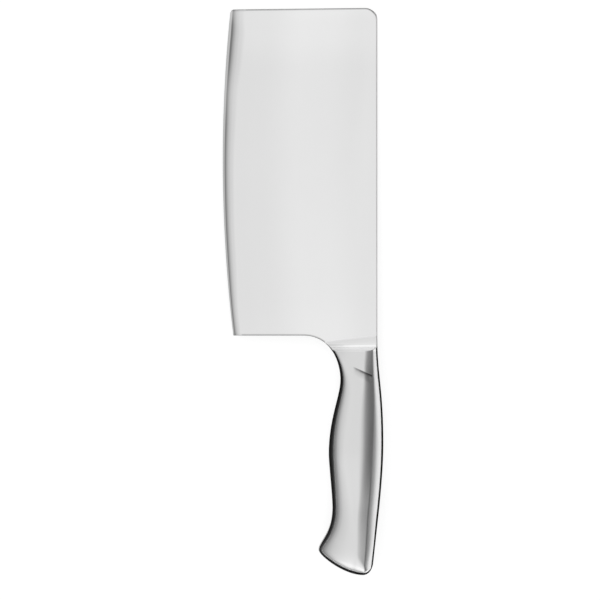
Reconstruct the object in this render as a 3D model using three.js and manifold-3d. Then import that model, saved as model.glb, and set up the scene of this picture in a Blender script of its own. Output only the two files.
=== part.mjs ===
// An all-steel kitchen cleaver: a ground blade, a solid bolster and a hollow handle welded up from
// two pressed half shells. Nothing on it moves.
//
// The cleaver lies on its right side. +X runs from the cutting edge to the spine, +Y from the butt to
// the toe and +Z up. The origin is on the surface it lies on, under the middle of its outline.
// The pieces are drawn from the spine line (x = 0), the heel line (y = 0) and the middle plane of the
// blade (z = 0), and the group at the end moves them to the origin. All sizes are in millimetres.
import * as THREE from "three";
import { mergeVertices } from "three/addons/utils/BufferGeometryUtils.js";
import Module from "manifold-3d";

// Blade
const BLADE_LENGTH = 178;
const BLADE_HEIGHT = 84;
const BLADE_THICKNESS = 2.2;
const TOE_CORNER_RADIUS = 6;
const TOE_DROP = 0.8;
const EDGE_RADIUS = 770;
const EDGE_LOW_POINT_FROM_HEEL = 95.4;
const EDGE_LAND = 0.1;
const BEVEL_WIDTH = 1.6;
const BEVEL_SHOULDER = 0.8;
const GRIND_WIDTH = 4.4;
const GRIND_SHARE_AT_HEEL = 0.58;
const EASED_EDGE = 0.5;

// Neck and stub tang of the blade, ground a little thinner than the blade where the bolster covers them
const NECK_LENGTH = 6.2;
const NECK_THICKNESS = 2;
const TANG_WIDTH = 11;
const TANG_LENGTH = 36;
const TANG_FROM_SPINE = 5.5;
const TANG_END_RADIUS = 3;

// Outline of the handle: distances along it from one turning point to the next, and depths below the
// spine line
const NECK_FROM_HEEL = 23.9;
const SWELL_FROM_NECK = 40.4;
const WAIST_FROM_SWELL = 29.2;
const HOOK_FROM_WAIST = 23;
const BUTT_FROM_HOOK = 13.6;
const CHOIL_START_DEPTH = 40.3;
const NECK_DEPTH = 20;
const SWELL_DEPTH = 26.35;
const WAIST_DEPTH = 24.35;
const HOOK_DEPTH = 31.9;
const BUTT_LOW_POINT_DEPTH = 8;
const SPINE_CROWN_HEIGHT = 3.3;
const SPINE_CROWN_FROM_HEEL = 58.7;
const BUTT_CORNER_DEPTH = 2.3;
const BUTT_CORNER_RISE = 6.5;

// How far the outline holds its direction on each side of those points
const CHOIL_PULL = 15.4;
const NECK_PULL = 9;
const SWELL_FRONT_PULL = 19.2;
const SWELL_REAR_PULL = 5;
const WAIST_FRONT_PULL = 6.5;
const WAIST_REAR_PULL = 14.3;
const HOOK_FRONT_PULL = 4.6;
const HOOK_REAR_PULL = 2.7;
const BUTT_FRONT_PULL = 10.5;
const BUTT_REAR_PULL = 4.4;
const BUTT_CORNER_PULL = 1;
const SPINE_START_PULL = 21.6;
const SPINE_CROWN_FRONT_PULL = 30.3;
const SPINE_CROWN_REAR_PULL = 19.4;
const SPINE_END_PULL = 20.9;
const SPINE_END_LEAN = 2.3;

// Cross-section of the handle at the bolster, the swell, the waist and the butt
const BOLSTER_THICKNESS = 11.4;
const SWELL_THICKNESS = 19;
const WAIST_THICKNESS = 17.2;
const BUTT_THICKNESS = 18.6;
const BOLSTER_BELLY_ROLL = 2.8;
const SWELL_BELLY_ROLL = 9.2;
const WAIST_BELLY_ROLL = 10.5;
const BUTT_BELLY_ROLL = 8;
const BOLSTER_SHOULDER = 7;
const SWELL_SHOULDER = 14;
const WAIST_SHOULDER = 12.4;
const BUTT_SHOULDER = 11;
const BOLSTER_RIDGE = 2.8;
const SWELL_RIDGE = 6.4;
const WAIST_RIDGE = 6.1;
const BUTT_RIDGE = 5.6;
const BOLSTER_CORNER = 2.2;
const SWELL_CORNER = 2.7;
const WAIST_CORNER = 2.6;
const BUTT_CORNER = 2.4;
const BOLSTER_SLOPE_DEGREES = 19;
const SWELL_SLOPE_DEGREES = 22.5;
const WAIST_SLOPE_DEGREES = 15.6;
const BUTT_SLOPE_DEGREES = 14;
const BOLSTER_BEND_SHARE = 0.25;
const SWELL_BEND_SHARE = 0.38;
const WAIST_BEND_SHARE = 0.15;
const BUTT_BEND_SHARE = 0.15;
const CHAMFER_DEGREES = 24.5;
const CORNER_DEGREES = 33;
const CORNER_REACH_SHARE = 0.65;
const SIDE_EASE = 2.2;
const BACK_EASE = 1.3;
const BUTT_ROLL = 8;
const BUTT_BLEND_LENGTH = 26;

// Bolster: where its ramp leaves the blade and ends, and the slanting joint with the shells
const RAMP_FOOT_HEIGHT = 1;
const RAMP_FOOT_AT_SPINE = 0.1;
const RAMP_FOOT_AT_BELLY = 3.4;
const RAMP_TOP_FROM_HEEL = 8.3;
const RAMP_POWER = 3;
const JOINT_AT_BELLY = 13.5;
const JOINT_AT_SPINE = 24.1;
const SPIGOT_LENGTH = 6;
const CREASE_DEPTH = 0.3;
const CREASE_LENGTH = 5;
const CREASE_START = 15.5;
const CREASE_TAPER = 2;

// Sheet, welds and fits
const SHELL_WALL = 1;
const SPIGOT_CLEARANCE = 0.3;
const SLOT_CLEARANCE = 0.1;
const PARTING_GAP = 0.1;
const WELD_WIDTH = 1.6;
const WELD_DEPTH = 0.75;
const WELD_CROWN = 0.05;
const WELD_CLEARANCE = 0.12;
const TANG_WELD_LEG = 2;

// Facets
const ROLL_STEPS = 6;
const CROWN_STEPS = 2;
const SLOPE_STEPS = 4;
const CHAMFER_STEPS = 2;
const CORNER_STEPS = 4;
const RAMP_ROWS = 8;
const BOLSTER_ROWS = 5;
const SHELL_ROWS = 22;
const BUTT_ROWS = 7;
const BUTT_SEAM_ROWS = 14;
const OUTLINE_STEPS = 12;
const EDGE_STEPS = 20;
const GRIND_STEPS = 4;

// Share of a quarter ellipse's axis that its Bezier handle takes
const QUARTER_ROUND = 0.5523;

const wasm = await Module();
wasm.setup();

const point = (x, y) => new THREE.Vector2(x, y);
const { clamp, degToRad, lerp, smoothstep } = THREE.MathUtils;

// Lengths that follow from the sizes above
const neckY = -NECK_FROM_HEEL;
const swellY = neckY - SWELL_FROM_NECK;
const waistY = swellY - WAIST_FROM_SWELL;
const hookY = waistY - HOOK_FROM_WAIST;
const buttY = hookY - BUTT_FROM_HOOK;
const buttCornerY = buttY + BUTT_CORNER_RISE;
const edgeCentre = point(EDGE_RADIUS - BLADE_HEIGHT, EDGE_LOW_POINT_FROM_HEEL);
const shellRun = -buttCornerY - JOINT_AT_SPINE;

// The belly runs from the heel of the blade round the choil, over the swell and into the hook of the butt
const bellyCurves = [
  new THREE.CubicBezierCurve(
    point(-CHOIL_START_DEPTH, 0),
    point(-CHOIL_START_DEPTH + CHOIL_PULL, 0),
    point(-NECK_DEPTH, neckY + NECK_PULL),
    point(-NECK_DEPTH, neckY),
  ),
  new THREE.CubicBezierCurve(
    point(-NECK_DEPTH, neckY),
    point(-NECK_DEPTH, neckY - NECK_PULL),
    point(-SWELL_DEPTH, swellY + SWELL_FRONT_PULL),
    point(-SWELL_DEPTH, swellY),
  ),
  new THREE.CubicBezierCurve(
    point(-SWELL_DEPTH, swellY),
    point(-SWELL_DEPTH, swellY - SWELL_REAR_PULL),
    point(-WAIST_DEPTH, waistY + WAIST_FRONT_PULL),
    point(-WAIST_DEPTH, waistY),
  ),
  new THREE.CubicBezierCurve(
    point(-WAIST_DEPTH, waistY),
    point(-WAIST_DEPTH, waistY - WAIST_REAR_PULL),
    point(-HOOK_DEPTH, hookY + HOOK_FRONT_PULL),
    point(-HOOK_DEPTH, hookY),
  ),
];

// The spine of the handle bows gently outwards from the blade's spine to the corner of the butt
const spineCurves = [
  new THREE.CubicBezierCurve(
    point(0, 0),
    point(0, -SPINE_START_PULL),
    point(SPINE_CROWN_HEIGHT, -SPINE_CROWN_FROM_HEEL + SPINE_CROWN_FRONT_PULL),
    point(SPINE_CROWN_HEIGHT, -SPINE_CROWN_FROM_HEEL),
  ),
  new THREE.CubicBezierCurve(
    point(SPINE_CROWN_HEIGHT, -SPINE_CROWN_FROM_HEEL),
    point(SPINE_CROWN_HEIGHT, -SPINE_CROWN_FROM_HEEL - SPINE_CROWN_REAR_PULL),
    point(-BUTT_CORNER_DEPTH + SPINE_END_LEAN, buttCornerY + SPINE_END_PULL),
    point(-BUTT_CORNER_DEPTH, buttCornerY),
  ),
];

// The butt slants from the hook to its low point and rounds up into the spine
const buttCurve = new THREE.CurvePath();
buttCurve.add(new THREE.CubicBezierCurve(
  point(-HOOK_DEPTH, hookY),
  point(-HOOK_DEPTH, hookY - HOOK_REAR_PULL),
  point(-BUTT_LOW_POINT_DEPTH - BUTT_FRONT_PULL, buttY),
  point(-BUTT_LOW_POINT_DEPTH, buttY),
));
buttCurve.add(new THREE.CubicBezierCurve(
  point(-BUTT_LOW_POINT_DEPTH, buttY),
  point(-BUTT_LOW_POINT_DEPTH + BUTT_REAR_PULL, buttY),
  point(-BUTT_CORNER_DEPTH, buttCornerY - BUTT_CORNER_PULL),
  point(-BUTT_CORNER_DEPTH, buttCornerY),
));

// How the thickness runs out where the butt rolls in: shares of the roll and of the full thickness
const buttProfile = new THREE.CubicBezierCurve(point(0, 1), point(0.5, 1), point(1, 0.75), point(1, 0));

// Share of a curve from which reached(point) is true
function shareWhere(curve, reached) {
  let low = 0;
  let high = 1;
  for (let i = 0; i < 50; i += 1) {
    const middle = (low + high) / 2;
    if (reached(curve.getPoint(middle))) high = middle;
    else low = middle;
  }
  return (low + high) / 2;
}

// Where a chain of curves that only falls reaches the height y
function pointAtHeight(curves, y) {
  const curve = curves.find((each) => each.getPoint(1).y <= y) ?? curves.at(-1);
  return point(curve.getPoint(shareWhere(curve, (each) => each.y <= y)).x, y);
}

// Height of the butt's outline at this distance from the spine line
function buttHeight(x) {
  const curve = x < -BUTT_LOW_POINT_DEPTH ? buttCurve.curves[0] : buttCurve.curves[1];
  return curve.getPoint(shareWhere(curve, (each) => each.x >= x)).y;
}

// A value given at the bolster, the swell, the waist and the butt, eased from one to the next. The higher
// the ease, the quicker it changes behind the bolster
function eased(y, ease, atBolster, atSwell, atWaist, atButt) {
  if (y > swellY) {
    const left = clamp((y - swellY) / (-RAMP_TOP_FROM_HEEL - swellY), 0, 1);
    return lerp(atSwell, atBolster, left ** ease);
  }
  if (y > waistY) return lerp(atWaist, atSwell, smoothstep(y, waistY, swellY));
  return lerp(atButt, atWaist, smoothstep(y, hookY, waistY));
}

// The form of the handle's cross-section at the height y
function formAt(y) {
  const side = (...sizes) => eased(y, SIDE_EASE, ...sizes);
  const back = (...sizes) => eased(y, BACK_EASE, ...sizes);
  return {
    half: back(BOLSTER_THICKNESS, SWELL_THICKNESS, WAIST_THICKNESS, BUTT_THICKNESS) / 2,
    roll: side(BOLSTER_BELLY_ROLL, SWELL_BELLY_ROLL, WAIST_BELLY_ROLL, BUTT_BELLY_ROLL),
    shoulder: side(BOLSTER_SHOULDER, SWELL_SHOULDER, WAIST_SHOULDER, BUTT_SHOULDER),
    ridge: back(BOLSTER_RIDGE, SWELL_RIDGE, WAIST_RIDGE, BUTT_RIDGE),
    corner: back(BOLSTER_CORNER, SWELL_CORNER, WAIST_CORNER, BUTT_CORNER),
    slope: back(BOLSTER_SLOPE_DEGREES, SWELL_SLOPE_DEGREES, WAIST_SLOPE_DEGREES, BUTT_SLOPE_DEGREES),
    bend: back(BOLSTER_BEND_SHARE, SWELL_BEND_SHARE, WAIST_BEND_SHARE, BUTT_BEND_SHARE),
  };
}

// The point this far across from a start, on a line that falls by so many degrees
function fallFrom(start, across, degrees) {
  return point(start.x + across, start.y - across * Math.tan(degToRad(degrees)));
}

// Upper half of a cross-section, from the belly over the side to the spine: a rounded belly, a flat
// side, a slope that bends down to the ridge line, a chamfer and a rounded corner
function upperProfile(width, form) {
  const slopeStart = point(width - form.shoulder, form.half);
  const bend = point(lerp(slopeStart.x, width - form.ridge, form.bend), form.half);
  const ridge = fallFrom(bend, width - form.ridge - bend.x, form.slope);
  const halfChamfer = (form.ridge - form.corner) / 2;
  const chamferMiddle = fallFrom(ridge, halfChamfer, CHAMFER_DEGREES);
  const chamferEnd = fallFrom(chamferMiddle, halfChamfer, CORNER_DEGREES);
  const belly = new THREE.CubicBezierCurve(
    point(0, 0),
    point(0, form.half * QUARTER_ROUND),
    point(form.roll * (1 - QUARTER_ROUND), form.half),
    point(form.roll, form.half),
  );
  const side = new THREE.LineCurve(point(form.roll, form.half), slopeStart);
  const slope = new THREE.QuadraticBezierCurve(slopeStart, bend, ridge);
  const chamfer = new THREE.QuadraticBezierCurve(ridge, chamferMiddle, chamferEnd);
  const corner = new THREE.CubicBezierCurve(
    chamferEnd,
    fallFrom(chamferEnd, form.corner * CORNER_REACH_SHARE, CORNER_DEGREES),
    fallFrom(chamferEnd, form.corner, CORNER_DEGREES),
    point(width, 0),
  );
  return [
    ...belly.getPoints(ROLL_STEPS).slice(0, -1),
    ...side.getPoints(CROWN_STEPS).slice(0, -1),
    ...slope.getPoints(SLOPE_STEPS).slice(0, -1),
    ...chamfer.getPoints(CHAMFER_STEPS).slice(0, -1),
    ...corner.getPoints(CORNER_STEPS),
  ];
}

// A closed ring of points round the handle, over the left side and back under the right side.
// place(share, z) puts a point that lies a share of the way from belly to spine
function ringOf(profile, width, place) {
  const upper = profile.map((each) => place(each.x / width, each.y));
  const lower = profile.slice(1, -1).reverse().map((each) => place(each.x / width, -each.y));
  return [...upper, ...lower];
}

// A straight row across the handle, between a height on the belly and a height on the spine. Where
// the bolster ramps up, the row is cut off at the height of the ramp, and rise is that share of the way up
function straightRing(bellyY, spineY, form, inset, rise = 1) {
  const belly = pointAtHeight(bellyCurves, bellyY);
  const spine = pointAtHeight(spineCurves, spineY);
  const width = belly.distanceTo(spine);
  return ringOf(upperProfile(width, form), width, (share, z) => {
    const across = lerp(inset / width, 1 - inset / width, share);
    const plan = belly.clone().lerp(spine, across);
    const height = Math.min(Math.abs(z), lerp(RAMP_FOOT_HEIGHT, form.half, rise));
    return new THREE.Vector3(plan.x, plan.y, Math.sign(z) * height * (1 - inset / form.half));
  });
}

// Row number "share" of the shells, from the joint at 0 to the butt at 1. The last rows swell out to
// the curve of the butt, and flatten is their share of the full thickness
function shellRing(share, inset, flatten, creaseDepth) {
  const bellyY = lerp(-JOINT_AT_BELLY, hookY, share);
  const spineY = lerp(-JOINT_AT_SPINE, buttCornerY, share);
  const belly = pointAtHeight(bellyCurves, bellyY);
  const spine = pointAtHeight(spineCurves, spineY);
  const width = belly.distanceTo(spine);
  const form = formAt((bellyY + spineY) / 2);
  const swelling = smoothstep(share * shellRun, shellRun - BUTT_BLEND_LENGTH, shellRun);
  const creaseFade = 1 - smoothstep(share * shellRun, 0, CREASE_LENGTH);
  return ringOf(upperProfile(width, form), width, (profileShare, z) => {
    const across = lerp(inset / width, 1 - inset / width, profileShare);
    const plan = belly.clone().lerp(spine, across);
    const buttLine = lerp(hookY, buttCornerY, profileShare);
    plan.y += swelling * (buttHeight(-lerp(HOOK_DEPTH, BUTT_CORNER_DEPTH, profileShare)) - buttLine);
    const fromSpine = (1 - profileShare) * width;
    const creased = creaseDepth * creaseFade * creaseShare(fromSpine, form.ridge);
    const side = Math.sign(z);
    return new THREE.Vector3(plan.x, plan.y, z * flatten * (1 - inset / form.half) - side * creased);
  });
}

// The crease starts at nothing on the side, is deepest just before the ridge and ends there
function creaseShare(fromSpine, ridge) {
  if (fromSpine <= ridge) return 0;
  const rise = smoothstep(-fromSpine, -CREASE_START, -ridge - CREASE_TAPER);
  return rise * smoothstep(fromSpine, ridge, ridge + CREASE_TAPER);
}

// A closed surface through a list of rings. A capped loft has flat ends, an uncapped one ends in a ring
// with no thickness, and a looped one runs back into its first ring
function loft(rings, { capStart = true, capEnd = true, loop = false } = {}) {
  const count = rings[0].length;
  const positions = rings.flat().flatMap((each) => [each.x, each.y, each.z]);
  const indices = [];
  const spans = loop ? rings.length : rings.length - 1;
  for (let row = 0; row < spans; row += 1) {
    const here = row * count;
    const next = ((row + 1) % rings.length) * count;
    for (let i = 0; i < count; i += 1) {
      const j = (i + 1) % count;
      indices.push(here + i, next + i, here + j, here + j, next + i, next + j);
    }
  }
  const addCap = (row, reversed) => {
    const centre = rings[row].reduce((sum, each) => sum.add(each), new THREE.Vector3()).divideScalar(count);
    const hub = positions.length / 3;
    positions.push(centre.x, centre.y, centre.z);
    for (let i = 0; i < count; i += 1) {
      const a = row * count + i;
      const b = row * count + ((i + 1) % count);
      indices.push(hub, reversed ? b : a, reversed ? a : b);
    }
  };
  if (!loop && capStart) addCap(0, false);
  if (!loop && capEnd) addCap(rings.length - 1, true);
  const geometry = new THREE.BufferGeometry();
  geometry.setAttribute("position", new THREE.Float32BufferAttribute(positions, 3));
  geometry.setIndex(indices);
  return geometry;
}

// Closed three.js geometry to a solid for cutting and joining, turned outwards if it faces in
function solidOf(geometry) {
  geometry.deleteAttribute("normal");
  geometry.deleteAttribute("uv");
  const merged = mergeVertices(geometry, 1e-4);
  const vertProperties = new Float32Array(merged.attributes.position.array);
  const corners = merged.index.array;
  const kept = [];
  for (let i = 0; i < corners.length; i += 3) {
    const [a, b, c] = corners.slice(i, i + 3);
    if (a !== b && b !== c && c !== a) kept.push(a, b, c);
  }
  const manifold = (triVerts) => new wasm.Manifold(new wasm.Mesh({ numProp: 3, vertProperties, triVerts }));
  const solid = manifold(new Uint32Array(kept));
  if (solid.volume() > 0) return solid;
  return manifold(new Uint32Array(kept.slice().reverse()));
}

// A solid back to three.js geometry, with flat facets
function geometryOf(solid) {
  const mesh = solid.getMesh();
  const positions = [];
  for (let i = 0; i < mesh.vertProperties.length; i += mesh.numProp) {
    positions.push(...mesh.vertProperties.slice(i, i + 3));
  }
  const geometry = new THREE.BufferGeometry();
  geometry.setAttribute("position", new THREE.Float32BufferAttribute(positions, 3));
  geometry.setIndex(Array.from(mesh.triVerts));
  geometry.computeVertexNormals();
  return geometry;
}

const edgeX = (y) => edgeCentre.x - Math.sqrt(EDGE_RADIUS ** 2 - (y - edgeCentre.y) ** 2);
const edgeAngle = (y) => Math.atan2(y - edgeCentre.y, edgeX(y) - edgeCentre.x);

// Blade: a plate with eased edges, ground away on both sides of the cutting edge
function bladeSolid() {
  const toeY = BLADE_LENGTH - TOE_DROP;
  const tangRight = -TANG_FROM_SPINE;
  const tangLeft = tangRight - TANG_WIDTH;
  const tangEnd = -NECK_LENGTH - TANG_LENGTH;
  const outline = new THREE.Shape();
  outline.absarc(edgeCentre.x, edgeCentre.y, EDGE_RADIUS, edgeAngle(0), edgeAngle(toeY), true);
  outline.lineTo(-TOE_CORNER_RADIUS, BLADE_LENGTH);
  const toeCentre = point(-TOE_CORNER_RADIUS, BLADE_LENGTH - TOE_CORNER_RADIUS);
  outline.absarc(toeCentre.x, toeCentre.y, TOE_CORNER_RADIUS, Math.PI / 2, 0, true);
  outline.lineTo(0, -NECK_LENGTH);
  outline.lineTo(tangRight, -NECK_LENGTH);
  outline.lineTo(tangRight, tangEnd + TANG_END_RADIUS);
  outline.quadraticCurveTo(tangRight, tangEnd, tangRight - TANG_END_RADIUS, tangEnd);
  outline.lineTo(tangLeft + TANG_END_RADIUS, tangEnd);
  outline.quadraticCurveTo(tangLeft, tangEnd, tangLeft, tangEnd + TANG_END_RADIUS);
  outline.lineTo(tangLeft, -NECK_LENGTH);
  const choil = bellyCurves[0];
  const neckShare = shareWhere(choil, (each) => each.y <= -NECK_LENGTH);
  for (let i = OUTLINE_STEPS; i >= 0; i -= 1) {
    const onChoil = choil.getPoint((neckShare * i) / OUTLINE_STEPS);
    outline.lineTo(onChoil.x, onChoil.y);
  }
  const plate = new THREE.ExtrudeGeometry(outline, {
    depth: BLADE_THICKNESS - 2 * EASED_EDGE,
    bevelThickness: EASED_EDGE,
    bevelSize: EASED_EDGE,
    bevelOffset: -EASED_EDGE,
    bevelSegments: 1,
    curveSegments: OUTLINE_STEPS,
  });
  plate.translate(0, 0, EASED_EDGE - BLADE_THICKNESS / 2);
  let blade = solidOf(plate);
  for (const side of [1, -1]) {
    blade = blade.subtract(solidOf(grindCutter(side))).subtract(solidOf(neckCutter(side, tangEnd)));
  }
  return blade;
}

// What the neck and tang are thinner by on one side, from the foot of the bolster's ramp backwards
function neckCutter(side, tangEnd) {
  const wide = BLADE_HEIGHT;
  const depth = BLADE_THICKNESS;
  const spine = pointAtHeight(spineCurves, -RAMP_FOOT_AT_SPINE);
  const belly = pointAtHeight(bellyCurves, -RAMP_FOOT_AT_BELLY);
  const end = tangEnd - NECK_LENGTH;
  const outline = new THREE.Shape([
    point(wide, spine.y),
    spine,
    belly,
    point(-wide, belly.y),
    point(-wide, end),
    point(wide, end),
  ]);
  const cutter = new THREE.ExtrudeGeometry(outline, { depth, bevelEnabled: false });
  cutter.translate(0, 0, side > 0 ? NECK_THICKNESS / 2 : -NECK_THICKNESS / 2 - depth);
  return cutter;
}

// What the grinding takes off one side: the sharpened bevel and the rounded shoulder above it, both of
// them narrower towards the heel
function grindCutter(side) {
  const flat = BLADE_THICKNESS / 2;
  const bevel = BEVEL_SHOULDER / 2;
  const clear = BLADE_THICKNESS;
  const profile = [point(-clear, flat + clear), point(-clear, EDGE_LAND / 2), point(0, EDGE_LAND / 2)];
  for (let i = 0; i <= GRIND_STEPS; i += 1) {
    const share = i / GRIND_STEPS;
    const height = lerp(bevel, flat, Math.sin((share * Math.PI) / 2));
    profile.push(point(BEVEL_WIDTH + GRIND_WIDTH * share, height));
  }
  profile.push(point(BEVEL_WIDTH + GRIND_WIDTH, flat + clear));
  const from = edgeAngle(-clear) + 2 * Math.PI;
  const to = edgeAngle(BLADE_LENGTH + clear);
  const rings = [];
  for (let i = 0; i <= EDGE_STEPS; i += 1) {
    const angle = lerp(from, to, i / EDGE_STEPS);
    const fromHeel = edgeCentre.y + EDGE_RADIUS * Math.sin(angle);
    const widthShare = lerp(GRIND_SHARE_AT_HEEL, 1, fromHeel / BLADE_LENGTH);
    rings.push(profile.map((each) => new THREE.Vector3(
      edgeCentre.x + (EDGE_RADIUS - each.x * widthShare) * Math.cos(angle),
      edgeCentre.y + (EDGE_RADIUS - each.x * widthShare) * Math.sin(angle),
      side * each.y,
    )));
  }
  return loft(rings);
}

// Bolster before its slot and weld grooves are cut: a ramp up from the blade, the collar, and the spigot
function bolsterBody() {
  const rings = [];
  const frontForm = formAt(-RAMP_TOP_FROM_HEEL);
  for (let i = 0; i < RAMP_ROWS; i += 1) {
    const share = i / RAMP_ROWS;
    const bellyY = -lerp(RAMP_FOOT_AT_BELLY, RAMP_TOP_FROM_HEEL, share);
    const spineY = -lerp(RAMP_FOOT_AT_SPINE, RAMP_TOP_FROM_HEEL, share);
    rings.push(straightRing(bellyY, spineY, frontForm, 0, share ** RAMP_POWER));
  }
  for (let i = 0; i <= BOLSTER_ROWS; i += 1) {
    const share = i / BOLSTER_ROWS;
    const bellyY = -lerp(RAMP_TOP_FROM_HEEL, JOINT_AT_BELLY, share);
    const spineY = -lerp(RAMP_TOP_FROM_HEEL, JOINT_AT_SPINE, share);
    rings.push(straightRing(bellyY, spineY, formAt((bellyY + spineY) / 2), 0));
  }
  const spigotInset = SHELL_WALL + SPIGOT_CLEARANCE;
  for (const share of [0, SPIGOT_LENGTH / shellRun]) {
    rings.push(shellRing(share, spigotInset, 1, CREASE_DEPTH));
  }
  return solidOf(loft(rings));
}

// Slot in the bolster: open at both sides round the neck of the blade, then only as wide as the tang
function slotCutter() {
  const wide = BLADE_HEIGHT;
  const tangRight = -TANG_FROM_SPINE + SLOT_CLEARANCE;
  const tangLeft = -TANG_FROM_SPINE - TANG_WIDTH - SLOT_CLEARANCE;
  const shoulder = -NECK_LENGTH - SLOT_CLEARANCE;
  const end = -NECK_LENGTH - TANG_LENGTH - SLOT_CLEARANCE;
  const outline = new THREE.Shape([
    point(-wide, shoulder),
    point(tangLeft, shoulder),
    point(tangLeft, end),
    point(tangRight, end),
    point(tangRight, shoulder),
    point(wide, shoulder),
    point(wide, BLADE_LENGTH),
    point(-wide, BLADE_LENGTH),
  ]);
  const depth = NECK_THICKNESS + 2 * SLOT_CLEARANCE;
  const slot = new THREE.ExtrudeGeometry(outline, { depth, bevelEnabled: false });
  slot.translate(0, 0, -depth / 2);
  return solidOf(slot);
}

// Outside of both shells as one body, or, with an inset, the space inside them
function shellBody(inset) {
  const rings = [];
  const start = inset > 0 ? -inset / shellRun : 0;
  const end = 1 - inset / shellRun;
  const roll = (BUTT_ROLL - inset) / shellRun;
  for (let i = 0; i < SHELL_ROWS; i += 1) {
    rings.push(shellRing(lerp(start, end - roll, i / SHELL_ROWS), inset, 1, CREASE_DEPTH));
  }
  for (let i = 0; i <= BUTT_ROWS; i += 1) {
    const spot = buttProfile.getPoint(i / BUTT_ROWS);
    rings.push(shellRing(end - roll * (1 - spot.x), inset, spot.y, 0));
  }
  return solidOf(loft(rings, { capEnd: false }));
}

// Sizes of a V-shaped weld bead, which stands a hair proud, and of the groove that is cut for it: wider,
// deeper and open at the top
const beadSize = { halfWidth: WELD_WIDTH / 2, depth: WELD_DEPTH, reach: WELD_CROWN };
const grooveSize = {
  halfWidth: WELD_WIDTH / 2 + WELD_CLEARANCE,
  depth: WELD_DEPTH + WELD_CLEARANCE,
  reach: WELD_DEPTH,
};

// The V round the joint between bolster and shells
function jointV({ halfWidth, depth, reach }) {
  const offset = halfWidth * (1 + reach / depth);
  const bellyY = -JOINT_AT_BELLY + offset;
  const spineY = -JOINT_AT_SPINE + offset;
  const front = straightRing(bellyY, spineY, formAt((bellyY + spineY) / 2), -reach);
  const rear = shellRing(offset / shellRun, -reach, 1, CREASE_DEPTH);
  const root = shellRing(0, depth, 1, CREASE_DEPTH);
  return solidOf(loft(front.map((each, i) => [each, rear[i], root[i]]), { loop: true }));
}

// The V along the parting line: down the spine, round the butt and back up the belly. It starts and
// ends clear of the joint
function seamV({ halfWidth, depth, reach }) {
  const start = (WELD_WIDTH + WELD_CLEARANCE + grooveSize.halfWidth - halfWidth) / shellRun;
  const path = [];
  for (let i = 0; i < SHELL_ROWS; i += 1) {
    const spineY = lerp(-JOINT_AT_SPINE, buttCornerY, lerp(start, 1, i / SHELL_ROWS));
    path.push(pointAtHeight(spineCurves, spineY));
  }
  for (let i = 0; i < BUTT_SEAM_ROWS; i += 1) {
    path.push(buttCurve.getPointAt(1 - i / BUTT_SEAM_ROWS));
  }
  for (let i = SHELL_ROWS; i >= 0; i -= 1) {
    const bellyY = lerp(-JOINT_AT_BELLY, hookY, lerp(start, 1, i / SHELL_ROWS));
    path.push(pointAtHeight(bellyCurves, bellyY));
  }
  const lip = halfWidth * (1 + reach / depth);
  const sections = path.map((here, i) => {
    const before = path[Math.max(i - 1, 0)];
    const after = path[Math.min(i + 1, path.length - 1)];
    const along = after.clone().sub(before).normalize();
    const outwards = point(-along.y, along.x);
    const outside = here.clone().addScaledVector(outwards, reach);
    const root = here.clone().addScaledVector(outwards, -depth);
    return [
      new THREE.Vector3(outside.x, outside.y, lip),
      new THREE.Vector3(outside.x, outside.y, -lip),
      new THREE.Vector3(root.x, root.y, 0),
    ];
  });
  return solidOf(loft(sections));
}

// Everything on one side of the parting plane, a hair clear of it
function halfSpace(side) {
  const size = 2 * (BLADE_LENGTH + BLADE_HEIGHT - buttY);
  const box = new THREE.BoxGeometry(size, size, size);
  box.translate(0, 0, side * (size / 2 + PARTING_GAP / 2));
  return solidOf(box);
}

// Fillet bead between the tang and the back face of the spigot, on one side of the tang
function tangWeld(side) {
  const spigot = shellRing(SPIGOT_LENGTH / shellRun, SHELL_WALL + SPIGOT_CLEARANCE, 1, 0);
  const belly = spigot[0];
  const spine = spigot[spigot.length / 2];
  const onBackFace = (x) => belly.clone().lerp(spine, (x - belly.x) / (spine.x - belly.x));
  const along = spine.clone().sub(belly).normalize();
  const backwards = new THREE.Vector3(along.y, -along.x, 0);
  const tangFace = side * (NECK_THICKNESS / 2 + WELD_CLEARANCE);
  const sections = [-TANG_FROM_SPINE - TANG_WIDTH, -TANG_FROM_SPINE].map((x) => {
    const root = onBackFace(x).addScaledVector(backwards, WELD_CLEARANCE);
    root.z = tangFace;
    const onTang = root.clone().addScaledVector(backwards, TANG_WELD_LEG);
    const onSpigot = root.clone();
    onSpigot.z += side * TANG_WELD_LEG;
    return [root, onTang, onSpigot];
  });
  return solidOf(loft(sections));
}

// Every piece cut against its neighbours
const jointGroove = jointV(grooveSize);
const sheetSteel = shellBody(0).subtract(shellBody(SHELL_WALL));
const shells = sheetSteel.subtract(jointGroove).subtract(seamV(grooveSize));
const solids = {
  blade: bladeSolid(),
  bolster: bolsterBody().subtract(slotCutter()).subtract(jointGroove),
  handle_shell_left: shells.intersect(halfSpace(1)),
  handle_shell_right: shells.intersect(halfSpace(-1)),
  handle_seam_weld: seamV(beadSize),
  bolster_seam_weld: jointV(beadSize),
  tang_weld_left: tangWeld(1),
  tang_weld_right: tangWeld(-1),
};

// Satin steel on what shows, duller steel on the welds
const finishes = {
  blade: { color: 0xd2d3d4, roughness: 0.3, metalness: 1 },
  bolster: { color: 0xc8c9ca, roughness: 0.24, metalness: 1 },
  handle_shell_left: { color: 0xc8c9ca, roughness: 0.24, metalness: 1 },
  handle_shell_right: { color: 0xc8c9ca, roughness: 0.24, metalness: 1 },
  handle_seam_weld: { color: 0xbcbdbe, roughness: 0.32, metalness: 1 },
  bolster_seam_weld: { color: 0xbcbdbe, roughness: 0.32, metalness: 1 },
  tang_weld_left: { color: 0x8d8a86, roughness: 0.55, metalness: 1 },
  tang_weld_right: { color: 0x8d8a86, roughness: 0.55, metalness: 1 },
};

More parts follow.
